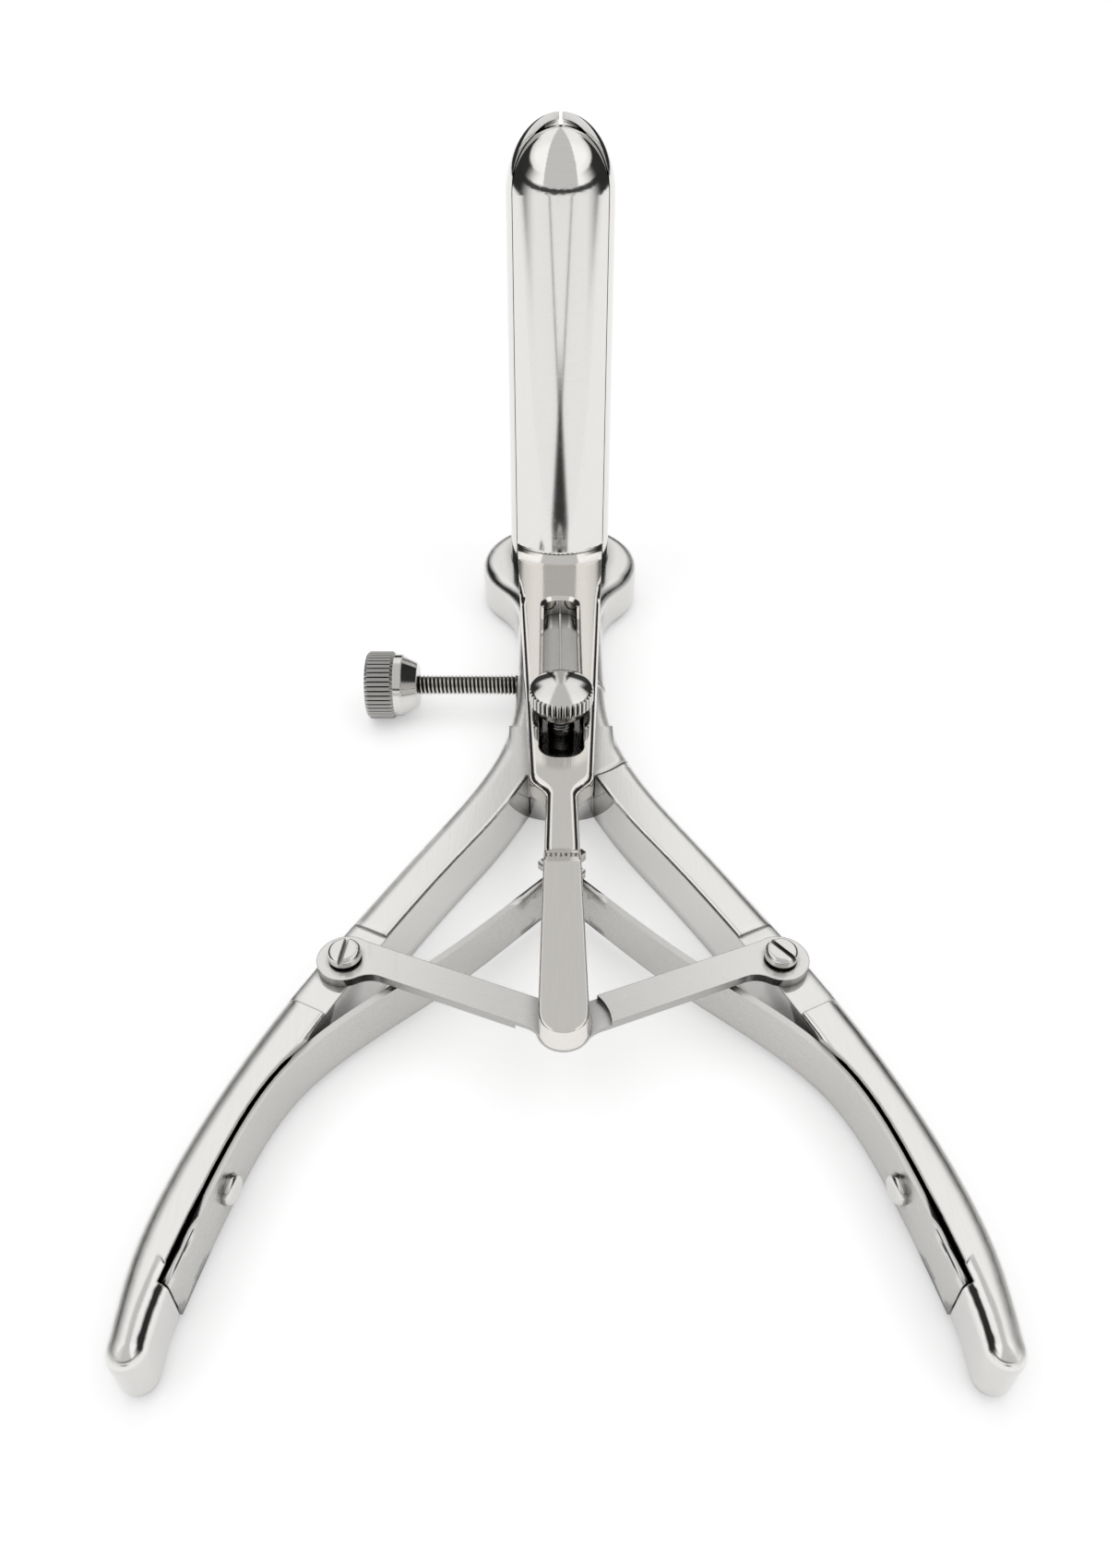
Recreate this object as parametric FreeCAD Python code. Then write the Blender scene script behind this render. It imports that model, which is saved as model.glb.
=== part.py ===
import FreeCAD, Part
import math
import os
from FreeCAD import Vector

# A three-bladed rectal speculum lying on the backs of its levers.
# X runs across, +Y towards the blades, -Y towards the handle tips, +Z up.
# The origin is on the pivot's axis, in the plane that the levers rest on. Millimetres.

# Levers
LEVER_DEPTH = 10.5
PARTING = 0.4
NECK_HALF_WIDTH = 8.8
NECK_FOOT_Y = 12.0
NECK_BLEND = 20.0
OUTER_ROUND = 2.3
INNER_ROUND = 0.6
EASED_END_Y = -101.0
RING_CENTRE_Y = 62.0
RING_RADIUS = 17.4
# Middle of the handle bar and its thickness, from the hub out to the tip
HANDLE_STATIONS = (
    (9.6, -12.0, 8.6),
    (20.2, -33.0, 7.2),
    (32.7, -56.0, 6.8),
    (43.0, -79.0, 6.8),
    (48.9, -100.0, 6.2),
    (49.6, -112.0, 5.0),
)

# Pivot, where a half lap of each lever crosses the centre line
UPPER_LAP_RADIUS = 15.3
LOWER_LAP_RADIUS = 15.0
LAP_CLEARANCE = 0.3
LAP_GAP = 0.04
STUD_RADIUS = 2.45
STUD_RUNNING = 0.05
STUD_BEVEL = 0.5
STUD_END_GAP = 0.2
PIVOT_HEAD_RADIUS = 5.2
PIVOT_HEAD_HEIGHT = 2.4

# Blades: a tube with a domed tip, split in three along its length
TUBE_RADIUS = 10.95
BLADE_WALL = 1.3
BLADE_TILT = 13.0
TUBE_FRONT_Y = 53.0
TUBE_STRAIGHT = 71.5
SIDE_DOME = 14.3
FRONT_DOME = 12.1
FRONT_HALF_ANGLE = 60.0
SEAM_GAP = 0.3
BACK_GAP = 0.7
BLADE_ROOT_FILLET = 2.8
BLADE_ROOT_HEIGHT = 6.0

# Slotted plate and its tongue
PLATE_THICKNESS = 4.0
PLATE_GAP = 0.02
PLATE_SHOULDER = 0.22
PLATE_HALF_WIDTH_FOOT = 5.6
PLATE_FOOT_Y = -18.0
SLOT_HALF_WIDTH = 3.4
SLOT_CORNER = 2.6
SLOT_START_Y = -13.4
SLOT_END_Y = 38.5
SLOT_BEVEL = 0.7
TONGUE_HALF_WIDTH = 2.7
TONGUE_NECK_Y = -24.0
TONGUE_CRANK_Y = -37.4
TONGUE_CRANK_LENGTH = 3.0
TONGUE_CRANK_ROUND = 5.0
TONGUE_TIP_Y = -73.5
TONGUE_TIP_LENGTH = 5.5
TONGUE_TIP_FULLNESS = 0.78
TONGUE_END_WIDENING = 0.8
TONGUE_EDGE_ROUND = 0.3
PLATE_EDGE_ROUND = 1.2
PLATE_ROUND_END_Y = 36.0
PLATE_RUN_OUT_RADIUS = 60.0
PLATE_RUN_OUT = 13.0

# Clamp knob on the stud
KNOB_RADIUS = 5.9
KNOB_COLLAR_RADIUS = 4.7
KNOB_COLLAR_HEIGHT = 1.8
KNOB_RIM_HEIGHT = 3.1
KNOB_DOME = 1.3
KNOB_BEVEL = 0.35
KNOB_BORE_DEPTH = 4.2

# Links between the handles and the tongue
LINK_SCREW_X = 32.2
LINK_SCREW_Y = -57.0
APEX_Y = -68.7
LINK_THICKNESS = 1.5
LINK_BAR_WIDTH = 5.1
LINK_OUTER_RADIUS = 4.2
LINK_APEX_RADIUS = 4.0
LINK_BAR_LIFT = 1.5
LINK_BLEND = 4.0
LINK_STACK_GAP = 0.1
LINK_LAP_RADIUS = 6.8
LINK_RECESS_DEPTH = 0.5
LINK_RECESS_UP = 7.6
LINK_RECESS_DOWN = 8.6
LINK_RECESS_HALF_WIDTH = 10.0
APEX_PIN_RADIUS = 1.0
APEX_HOLE_RADIUS = 2.9
APEX_HEAD_RADIUS = 3.2
APEX_HEAD_HEIGHT = 0.6
APEX_HEAD_ROUND = 0.3
APEX_PIN_DEPTH = 2.0

# Link screws
LINK_SCREW_RADIUS = 1.4
LINK_SCREW_RUNNING = 0.05
LINK_SCREW_HEAD_RADIUS = 2.45
LINK_SCREW_HEAD_HEIGHT = 1.5
LINK_SCREW_LIFT = 0.5
LINK_SCREW_DEPTH = 7.0
LINK_SCREW_ROUND = 0.6
LEFT_LINK_SCREW_TURN = 84.0
RIGHT_LINK_SCREW_TURN = 130.0
SCREW_SLOT_WIDTH = 0.7
SCREW_SLOT_DEPTH = 0.8

# Leaf springs between the handles
SPRING_THICKNESS = 1.1
SPRING_BOTTOM = 1.4
SPRING_TOP = 9.4
SPRING_NOTCH_Y = -104.5
SPRING_NOTCH_GAP = 0.25
SPRING_SEAT_GAP = 0.02
SPRING_LEAVE_Y = -74.0
SPRING_MIDDLE = (20.0, -55.8)
SPRING_CROSS_Y = -35.0
SPRING_OVERRUN = 4.6
SPRING_PRONG = 1.6
SPRING_PRONG_GAP = 0.4
SPRING_TINE = 1.8
SPRING_SLIT_REACH = 3.4
SPRING_SCREW_Y = -89.5
SPRING_SCREW_HEAD_RADIUS = 2.0
SPRING_SCREW_HEAD_HEIGHT = 1.2
SPRING_SCREW_RADIUS = 1.1
SPRING_SCREW_DEPTH = 3.6
SPRING_SCREW_ROUND = 0.7
SPRING_SCREW_SLOT_DEPTH = 0.5

# Set screw through the neck of the left lever
SET_SCREW_Y = 17.9
SET_SCREW_Z = 6.9
SET_ROD_RADIUS = 2.02
SET_ROD_REACH = 28.4
SET_CONE_LENGTH = 3.0
SET_CONE_SMALL = 4.5
SET_CONE_LARGE = 6.0
SET_FLANGE_RADIUS = 6.2
SET_FLANGE_LENGTH = 1.5
SET_FLANGE_BEVEL = 0.2
SET_HEAD_RADIUS = 6.7
SET_HEAD_LENGTH = 5.5
SET_HEAD_BEVEL = 0.5
SET_ROD_SOCKET = 6.0

# Points along a curve that is offset, and halvings that find a spot on one
RIBBON_STEPS = 24
REGION_STEPS = 10
SECTOR_STEPS = 12
HALVINGS = 40

# Reach of cutting tools past the part, past a face, and what counts as the same place
BIG = 400.0
PAST = 1.0
CLOSE = 0.01

UP = Vector(0, 0, 1)
LAP_HEIGHT = LEVER_DEPTH / 2
PLATE_BOTTOM = LEVER_DEPTH + PLATE_GAP
PLATE_TOP = PLATE_BOTTOM + PLATE_THICKNESS
STUD_TOP = PLATE_TOP + KNOB_BORE_DEPTH - STUD_END_GAP
LINK_BOTTOM = LEVER_DEPTH - LINK_RECESS_DEPTH
LINK_TOP = LINK_BOTTOM + LINK_THICKNESS
LINK_MIDDLE = (LINK_BOTTOM + LINK_TOP) / 2
TONGUE_END_BOTTOM = LINK_TOP + LINK_STACK_GAP
PLATE_HALF_WIDTH_TOP = TUBE_RADIUS * math.sin(math.radians(FRONT_HALF_ANGLE)) + PLATE_SHOULDER
TONGUE_LIFT = TONGUE_END_BOTTOM - PLATE_BOTTOM


def tube_axis_start():
    """Point on the tube's axis level with the front of its foot on the plate."""
    tilt = math.radians(BLADE_TILT)
    return Vector(0, TUBE_FRONT_Y + TUBE_RADIUS * math.cos(tilt),
                  PLATE_TOP - TUBE_RADIUS * math.sin(tilt))


def tube_placement():
    """Places a shape drawn round +Z at the foot of the tilted tube."""
    return FreeCAD.Placement(tube_axis_start(), FreeCAD.Rotation(Vector(1, 0, 0), -BLADE_TILT))


def box(x0, x1, y0, y1, z0, z1):
    return Part.makeBox(x1 - x0, y1 - y0, z1 - z0, Vector(x0, y0, z0))


def disc(radius, z0, z1, x=0.0, y=0.0):
    return Part.makeCylinder(radius, z1 - z0, Vector(x, y, z0), UP)


def mirrored(shape):
    return shape.mirror(Vector(0, 0, 0), Vector(1, 0, 0))


def revolved(points, axis_point, axis):
    """A full turn of the closed profile through the points."""
    wire = Part.makePolygon(points + [points[0]])
    return Part.Face(wire).revolve(axis_point, axis, 360)


def unit_left(direction):
    """The horizontal unit vector at the left of a direction."""
    return Vector(-direction.y, direction.x, 0).normalize()


def spline(points, start=None, end=None):
    """Smooth curve through points, with set end directions where they are given."""
    curve = Part.BSplineCurve()
    if start is None:
        curve.interpolate(points)
    else:
        curve.interpolate(Points=points, InitialTangent=start, FinalTangent=end)
    return curve


def handle_middle():
    """Smooth middle line of the right handle bar."""
    return spline([Vector(x, y, 0) for x, y, _ in HANDLE_STATIONS])


def handle_side(outward):
    """Points on one side of the right handle bar, hub first."""
    middle = handle_middle()
    points = []
    for x, y, thickness in HANDLE_STATIONS:
        spot = Vector(x, y, 0)
        along = middle.tangent(middle.parameter(spot))[0]
        points.append(spot + unit_left(along) * (outward * thickness / 2))
    return points


def handle_frame(y):
    """Point on the middle line at a height y, with the direction towards the tip."""
    middle = handle_middle()
    low = middle.FirstParameter
    high = middle.LastParameter
    for _ in range(HALVINGS):
        half = (low + high) / 2
        if middle.value(half).y > y:
            low = half
        else:
            high = half
    return middle.value(low), middle.tangent(low)[0]


def lever_outline():
    """Closed outline of the right lever: ring, neck, flare, handle and parting line."""
    ring = Vector(0, RING_CENTRE_Y, 0)
    parting = PARTING / 2
    reach = RING_RADIUS + NECK_BLEND
    blend_x = NECK_HALF_WIDTH + NECK_BLEND
    blend_y = RING_CENTRE_Y - math.sqrt(reach ** 2 - blend_x ** 2)
    blend = Vector(blend_x, blend_y, 0)
    on_ring = ring + (blend - ring) * (RING_RADIUS / reach)
    on_neck = Vector(NECK_HALF_WIDTH, blend_y, 0)
    on_blend = blend - ((blend - on_ring) + (blend - on_neck)).normalize() * NECK_BLEND
    ring_back = Vector(parting, RING_CENTRE_Y + math.sqrt(RING_RADIUS ** 2 - parting ** 2), 0)
    ring_side = ring + Vector(RING_RADIUS, 0, 0)
    outer = handle_side(1)
    inner = handle_side(-1)
    neck_foot = Vector(NECK_HALF_WIDTH, NECK_FOOT_Y, 0)
    middle = handle_middle()
    hub_way = middle.tangent(middle.FirstParameter)[0]
    tip_way = middle.tangent(middle.LastParameter)[0]
    tip = (outer[-1] + inner[-1]) / 2 + tip_way * (HANDLE_STATIONS[-1][2] / 2)
    outer_curve = spline([neck_foot] + outer[1:], Vector(0, -1, 0), tip_way)
    inner_curve = spline(inner[::-1], tip_way * -1, hub_way * -1)
    crotch = Vector(parting, inner[0].y, 0)
    edges = [
        Part.Arc(ring_back, ring_side, on_ring).toShape(),
        Part.Arc(on_ring, on_blend, on_neck).toShape(),
        Part.makeLine(on_neck, neck_foot),
        outer_curve.toShape(),
        Part.Arc(outer[-1], tip, inner[-1]).toShape(),
        inner_curve.toShape(),
        Part.makeLine(inner[0], crotch),
        Part.makeLine(crotch, ring_back),
    ]
    return Part.Wire(edges)


def right_blank():
    """The right lever before the lap: well rounded outside, only eased along the handle's inner side."""
    plain = Part.Face(lever_outline()).extrude(Vector(0, 0, LEVER_DEPTH))
    edges = [edge for edge in plain.Edges if is_rounded(edge)]
    region = inner_side_region()
    outer = plain.makeFillet(OUTER_ROUND, edges).cut(region)
    inner = plain.makeFillet(INNER_ROUND, edges).common(region)
    return outer.fuse(inner).removeSplitter()


def is_rounded(edge):
    """True for the level edges of a lever blank, apart from those at the parting and the crotch.

    The rounding runs on from the handle's tip along its inner side.
    """
    bounds = edge.BoundBox
    crotch_y = handle_side(-1)[0].y
    level = bounds.ZLength < CLOSE
    at_parting = bounds.XMin < PARTING / 2 + CLOSE and bounds.YMin < crotch_y + CLOSE
    at_inner_side = abs(bounds.YMax - crotch_y) < CLOSE
    return level and not at_parting and not at_inner_side


def inner_side_region():
    """Tall block on the inner side of the right handle's middle line, from the crotch to the spring's end."""
    crotch_y = handle_side(-1)[0].y
    spots = [crotch_y + (EASED_END_Y - crotch_y) * i / REGION_STEPS for i in range(REGION_STEPS + 1)]
    middle = [handle_frame(y)[0] for y in spots]
    end = middle[-1] + Vector(-HANDLE_STATIONS[-1][2], -HANDLE_STATIONS[-1][2], 0)
    corners = [Vector(PARTING / 2, crotch_y, 0)] + middle + [end, Vector(PARTING / 2, end.y, 0)]
    block = Part.Face(Part.makePolygon(corners + [corners[0]])).extrude(Vector(0, 0, BIG))
    block.translate(Vector(0, 0, -BIG / 2))
    return block


def tube_core(radius):
    """The tilted tube's core, long enough to cut right through the levers and the plate."""
    core = Part.makeCylinder(radius, 2 * BIG, Vector(0, 0, -BIG), UP)
    core.Placement = tube_placement()
    return core


def lap(radius, z0, z1):
    """Half lap: the part of both necks inside a circle round the pivot."""
    blank = right_blank()
    both = blank.fuse(mirrored(blank))
    bridge = box(-PARTING, PARTING, -radius - PAST, radius + PAST, 0, LEVER_DEPTH)
    foot = box(-HANDLE_STATIONS[0][0], HANDLE_STATIONS[0][0], -radius - PAST, 0, 0, LEVER_DEPTH)
    whole = both.fuse(bridge).fuse(foot)
    return whole.common(disc(radius, z0, z1))


def link_recess():
    """Shallow milled seat for the link on the right handle's upper face."""
    spot, along = handle_frame(LINK_SCREW_Y)
    seat = box(-LINK_RECESS_HALF_WIDTH, LINK_RECESS_HALF_WIDTH, -LINK_RECESS_DOWN, LINK_RECESS_UP,
               LINK_BOTTOM, LEVER_DEPTH + PAST)
    angle = math.degrees(math.atan2(along.x, -along.y))
    seat.rotate(Vector(0, 0, 0), UP, angle)
    seat.translate(Vector(spot.x, spot.y, 0))
    return seat


def spring_side_wire():
    """Handle side of the right spring in plan, from the notch to its free end."""
    seated = spring_seat_points()
    middle = Vector(SPRING_MIDDLE[0], SPRING_MIDDLE[1], 0)
    cross = Vector(0, SPRING_CROSS_Y, 0)
    way = (cross - middle).normalize()
    return spline(seated + [middle, cross, cross + way * SPRING_OVERRUN])


def spring_seat_points():
    """Points of the same side where the spring lies against the handle."""
    points = []
    for y in (SPRING_NOTCH_Y, SPRING_SCREW_Y, SPRING_LEAVE_Y):
        spot, along = handle_frame(y)
        points.append(spot - unit_left(along) * (handle_thickness(y) / 2 - SPRING_THICKNESS))
    return points


def handle_thickness(y):
    """Bar thickness between the stations."""
    for upper, lower in zip(HANDLE_STATIONS, HANDLE_STATIONS[1:]):
        if upper[1] >= y >= lower[1]:
            share = (upper[1] - y) / (upper[1] - lower[1])
            return upper[2] + share * (lower[2] - upper[2])
    return HANDLE_STATIONS[-1][2]


def ribbon(curve, z0, z1, thickness):
    """A strip of even thickness on the inner side of a curve."""
    start = curve.FirstParameter
    end = curve.LastParameter
    spots = [start + (end - start) * i / RIBBON_STEPS for i in range(RIBBON_STEPS + 1)]
    near = [curve.value(spot) for spot in spots]
    far = [curve.value(spot) + unit_left(curve.tangent(spot)[0]) * thickness for spot in spots]
    wire = Part.Wire([
        curve.toShape(),
        Part.makeLine(near[-1], far[-1]),
        spline(far).toShape(),
        Part.makeLine(far[0], near[0]),
    ])
    strip = Part.Face(wire).extrude(Vector(0, 0, z1 - z0))
    strip.translate(Vector(0, 0, z0))
    return strip


def spring_rebate():
    """Step in the handle's inner face that the spring lies in, open above and below."""
    side = spring_side_wire()
    clear = side.parameter(Vector(SPRING_MIDDLE[0], SPRING_MIDDLE[1], 0))
    spots = [clear * i / RIBBON_STEPS for i in range(RIBBON_STEPS + 1)]
    seat = [side.value(spot) - unit_left(side.tangent(spot)[0]) * SPRING_SEAT_GAP for spot in spots]
    notch_end = seat[0] - side.tangent(0)[0] * SPRING_NOTCH_GAP
    return ribbon(spline([notch_end] + seat), -PAST, LEVER_DEPTH + PAST, 4 * SPRING_THICKNESS)


def spring_screw_frame():
    """Centre of the spring screw's seat on the spring and the way its head looks."""
    spot, along = handle_frame(SPRING_SCREW_Y)
    inward = unit_left(along) * -1
    face = spot + inward * (handle_thickness(SPRING_SCREW_Y) / 2)
    return Vector(face.x, face.y, LEVER_DEPTH / 2), inward


def spring_screw_shank(radius, reach):
    face, inward = spring_screw_frame()
    start = face - inward * reach
    return Part.makeCylinder(radius, reach, start, inward)


def lever_cuts():
    """What is cut from the right lever and, mirrored, from the left one."""
    cuts = [
        tube_core(TUBE_RADIUS),
        link_recess(),
        spring_rebate(),
        spring_screw_shank(SPRING_SCREW_RADIUS, SPRING_SCREW_DEPTH),
        disc(LINK_SCREW_RADIUS, LINK_BOTTOM - LINK_SCREW_DEPTH, LEVER_DEPTH,
             LINK_SCREW_X, LINK_SCREW_Y),
        disc(STUD_RADIUS + STUD_RUNNING, -PAST, LEVER_DEPTH + PAST),
    ]
    return cuts


def pivot_countersink():
    """Seat of the stud's head in the back of the lower lap."""
    return Part.makeCone(PIVOT_HEAD_RADIUS, STUD_RADIUS, PIVOT_HEAD_HEIGHT, Vector(0, 0, 0), UP)


def right_lever():
    """Lever with the lower lap."""
    blank = right_blank()
    clear = UPPER_LAP_RADIUS + LAP_CLEARANCE
    blank = blank.cut(disc(clear, LAP_HEIGHT, LEVER_DEPTH + PAST))
    blank = blank.fuse(lap(LOWER_LAP_RADIUS, 0, LAP_HEIGHT))
    for cut in lever_cuts():
        blank = blank.cut(cut)
    return blank.cut(pivot_countersink()).removeSplitter()


def left_lever():
    """Lever with the upper lap and the set screw's thread hole."""
    blank = mirrored(right_blank())
    clear = LOWER_LAP_RADIUS + LAP_CLEARANCE
    blank = blank.cut(disc(clear, -PAST, LAP_HEIGHT + LAP_GAP))
    blank = blank.fuse(lap(UPPER_LAP_RADIUS, LAP_HEIGHT + LAP_GAP, LEVER_DEPTH))
    for cut in lever_cuts():
        blank = blank.cut(mirrored(cut))
    rod_hole = Part.makeCylinder(SET_ROD_RADIUS, BIG, Vector(-BIG, SET_SCREW_Y, SET_SCREW_Z),
                                 Vector(1, 0, 0))
    return blank.cut(rod_hole).removeSplitter()


def tube_shell(dome):
    """Thin tube round +Z with a closed domed tip."""
    outer = domed_rod(TUBE_RADIUS, dome)
    inner = domed_rod(TUBE_RADIUS - BLADE_WALL, dome - BLADE_WALL)
    shell = outer.cut(inner)
    shell.Placement = tube_placement()
    return shell


def domed_rod(radius, dome):
    """Solid rod round +Z, from well under the levers up to an elliptic dome."""
    foot = -3 * LEVER_DEPTH
    ellipse_arc = elliptic_quarter(radius, dome)
    wire = Part.Wire([
        Part.makeLine(Vector(0, 0, foot), Vector(radius, 0, foot)),
        Part.makeLine(Vector(radius, 0, foot), Vector(radius, 0, TUBE_STRAIGHT)),
        ellipse_arc,
        Part.makeLine(Vector(0, 0, TUBE_STRAIGHT + dome), Vector(0, 0, foot)),
    ])
    return Part.Face(wire).revolve(Vector(0, 0, 0), UP, 360)


def elliptic_quarter(radius, dome):
    """Quarter of an ellipse from the rod's side to its tip, in the XZ plane."""
    centre = Vector(0, 0, TUBE_STRAIGHT)
    side = centre + Vector(radius, 0, 0)
    tip = centre + Vector(0, 0, dome)
    if dome > radius:
        ellipse = Part.Ellipse(tip, side, centre)
    else:
        ellipse = Part.Ellipse(side, tip, centre)
    first = ellipse.parameter(side)
    last = ellipse.parameter(tip)
    quarter = math.pi / 2
    if abs((last - first) - quarter) > CLOSE and abs((first - last) - quarter) > CLOSE:
        if first < last:
            first = first + 2 * math.pi
        else:
            last = last + 2 * math.pi
    return Part.ArcOfEllipse(ellipse, min(first, last), max(first, last)).toShape()


def sector(start_angle, end_angle, radius):
    """Tall wedge round the tube's axis; angles run from the front, positive to the right."""
    points = [Vector(0, 0, 0)]
    for i in range(SECTOR_STEPS + 1):
        angle = math.radians(start_angle + (end_angle - start_angle) * i / SECTOR_STEPS)
        points.append(Vector(radius * math.sin(angle), -radius * math.cos(angle), 0))
    wedge = Part.Face(Part.makePolygon(points + [points[0]])).extrude(Vector(0, 0, BIG))
    wedge.translate(Vector(0, 0, -BIG / 2))
    wedge.Placement = tube_placement().multiply(wedge.Placement)
    return wedge


def seam_wall(angle, gap):
    """Thin wall in the plane of a seam, as thick as the seam's gap."""
    wall = box(-gap / 2, gap / 2, 0, 2 * TUBE_RADIUS, -BIG / 2, BIG / 2)
    wall.rotate(Vector(0, 0, 0), UP, 180 + angle)
    wall.Placement = tube_placement().multiply(wall.Placement)
    return wall


def right_blade():
    """Side blade brazed into the right half of the ring."""
    shell = tube_shell(SIDE_DOME)
    blade = shell.common(sector(FRONT_HALF_ANGLE, 180, 3 * TUBE_RADIUS))
    blade = blade.cut(seam_wall(FRONT_HALF_ANGLE, SEAM_GAP))
    blade = blade.cut(seam_wall(180, BACK_GAP))
    above_back = box(-BIG, BIG, -BIG, BIG, 0, BIG)
    return blade.common(above_back)


def left_blade():
    return mirrored(right_blade())


def plate_corner():
    """Right corner of the plate beside the foot of the front blade."""
    return Vector(PLATE_HALF_WIDTH_TOP, tube_axis_start().y, 0)


def plate_foot():
    """Right end of the plate's straight side, above the shoulder."""
    return Vector(PLATE_HALF_WIDTH_FOOT, PLATE_FOOT_Y, 0)


def tongue_sides():
    """Right half of the plan from the plate's foot round the shoulder to the tongue's tip."""
    foot = plate_foot()
    neck = Vector(TONGUE_HALF_WIDTH, TONGUE_NECK_Y, 0)
    tip_half = TONGUE_HALF_WIDTH + TONGUE_END_WIDENING
    tip_start = Vector(tip_half, TONGUE_TIP_Y + TONGUE_TIP_LENGTH, 0)
    shoulder = Vector(tip_half * TONGUE_TIP_FULLNESS,
                      tip_start.y - TONGUE_TIP_LENGTH * TONGUE_TIP_FULLNESS, 0)
    along = tip_start - neck
    return [
        spline([foot, (foot + neck) / 2, neck], foot - plate_corner(), along).toShape(),
        Part.makeLine(neck, tip_start),
        spline([tip_start, shoulder, Vector(0, TONGUE_TIP_Y, 0)], along, Vector(-1, 0, 0)).toShape(),
    ]


def closed_plan(right, top_y):
    """Wire through the right half of a plan, its mirror image and a straight back."""
    left = [mirrored(edge) for edge in right]
    half = max(edge.BoundBox.XMax for edge in right)
    back = Part.makeLine(Vector(half, top_y, 0), Vector(-half, top_y, 0))
    return Part.Wire(Part.__sortEdges__(right + left + [back]))


def plate_outline():
    """Plan of the plate from the blade to the tongue's round end."""
    corner = plate_corner()
    behind = Vector(corner.x, BIG / 2, 0)
    sides = [Part.makeLine(behind, corner), Part.makeLine(corner, plate_foot())]
    return closed_plan(sides + tongue_sides(), behind.y)


def rounding_outline():
    """The plate's plan, whose sides curve away where the rounded edge runs out."""
    up = (plate_corner() - plate_foot()).normalize()
    outward = unit_left(up) * -1
    leave = plate_foot() + up * ((PLATE_ROUND_END_Y - PLATE_FOOT_Y) / up.y)
    centre = leave + outward * PLATE_RUN_OUT_RADIUS

    def bend(angle):
        return centre + (up * math.sin(angle) - outward * math.cos(angle)) * PLATE_RUN_OUT_RADIUS

    turn = 2 * PLATE_RUN_OUT / PLATE_RUN_OUT_RADIUS
    run_out = Part.Arc(bend(turn), bend(turn / 2), leave).toShape()
    sides = [run_out, Part.makeLine(leave, plate_foot())]
    return closed_plan(sides + tongue_sides(), bend(turn).y)


def plate_profile():
    """Side view of the plate: flat over the levers, cranked up where the tongue starts."""
    top_y = BIG
    end_y = -BIG
    crank = TONGUE_CRANK_Y - TONGUE_CRANK_LENGTH
    low = [(top_y, 0), (TONGUE_CRANK_Y, 0), (crank, TONGUE_LIFT), (end_y, TONGUE_LIFT)]
    under = [Vector(-BIG / 2, y, PLATE_BOTTOM + z) for y, z in low]
    over = [p + Vector(0, 0, PLATE_THICKNESS) for p in under]
    face = Part.Face(Part.makePolygon(under + over[::-1] + [under[0]]))
    slab = face.extrude(Vector(BIG, 0, 0))
    bends = [edge for edge in slab.Edges if edge.BoundBox.YLength < CLOSE
             and edge.BoundBox.ZLength < CLOSE and abs(edge.BoundBox.YMin - TONGUE_CRANK_Y) < BIG / 2]
    return slab.makeFillet(TONGUE_CRANK_ROUND, bends)


def rounded_blank(radius):
    """Plate and tongue with rounded upper edges, before the blade stands on them."""
    blank = plate_profile().common(Part.Face(rounding_outline()).extrude(Vector(0, 0, BIG)))
    edges = []
    for edge in blank.Edges:
        middle = edge.valueAt((edge.FirstParameter + edge.LastParameter) / 2)
        if middle.z > PLATE_TOP - CLOSE and edge.BoundBox.YLength > CLOSE:
            edges.append(edge)
    return blank.makeFillet(radius, edges)


def rounding_space():
    """All that the rounded edges leave standing: round beside the slot, crisp on the tongue."""
    beside_slot = rounded_blank(PLATE_EDGE_ROUND).common(box(-BIG, BIG, TONGUE_CRANK_Y, BIG, 0, BIG))
    tongue = rounded_blank(TONGUE_EDGE_ROUND).common(box(-BIG, BIG, -BIG, TONGUE_CRANK_Y, 0, BIG))
    beyond = box(-BIG, BIG, PLATE_ROUND_END_Y + PLATE_RUN_OUT, BIG, 0, BIG)
    return beside_slot.fuse(tongue).fuse(beyond)


def slot_cutter():
    """The plate's slot with its bevelled mouth."""
    half = SLOT_HALF_WIDTH
    body = rounded_prism(half, SLOT_START_Y, SLOT_END_Y, SLOT_CORNER, PLATE_BOTTOM - PAST, PLATE_TOP + PAST)
    foot = rounded_wire(half, SLOT_START_Y, SLOT_END_Y, SLOT_CORNER, PLATE_TOP - SLOT_BEVEL)
    mouth = rounded_wire(half + SLOT_BEVEL, SLOT_START_Y - SLOT_BEVEL, SLOT_END_Y + SLOT_BEVEL,
                         SLOT_CORNER + SLOT_BEVEL, PLATE_TOP)
    return body.fuse(Part.makeLoft([foot, mouth], True, True))


def rounded_wire(half, y0, y1, corner, z):
    """Rectangle on the centre line with round corners."""
    k = corner * (1 - math.sqrt(0.5))
    edges = [
        Part.makeLine(Vector(-half, y0 + corner, z), Vector(-half, y1 - corner, z)),
        Part.Arc(Vector(-half, y1 - corner, z), Vector(-half + k, y1 - k, z),
                 Vector(-half + corner, y1, z)).toShape(),
        Part.makeLine(Vector(-half + corner, y1, z), Vector(half - corner, y1, z)),
        Part.Arc(Vector(half - corner, y1, z), Vector(half - k, y1 - k, z),
                 Vector(half, y1 - corner, z)).toShape(),
        Part.makeLine(Vector(half, y1 - corner, z), Vector(half, y0 + corner, z)),
        Part.Arc(Vector(half, y0 + corner, z), Vector(half - k, y0 + k, z),
                 Vector(half - corner, y0, z)).toShape(),
        Part.makeLine(Vector(half - corner, y0, z), Vector(-half + corner, y0, z)),
        Part.Arc(Vector(-half + corner, y0, z), Vector(-half + k, y0 + k, z),
                 Vector(-half, y0 + corner, z)).toShape(),
    ]
    return Part.Wire(edges)


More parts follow.
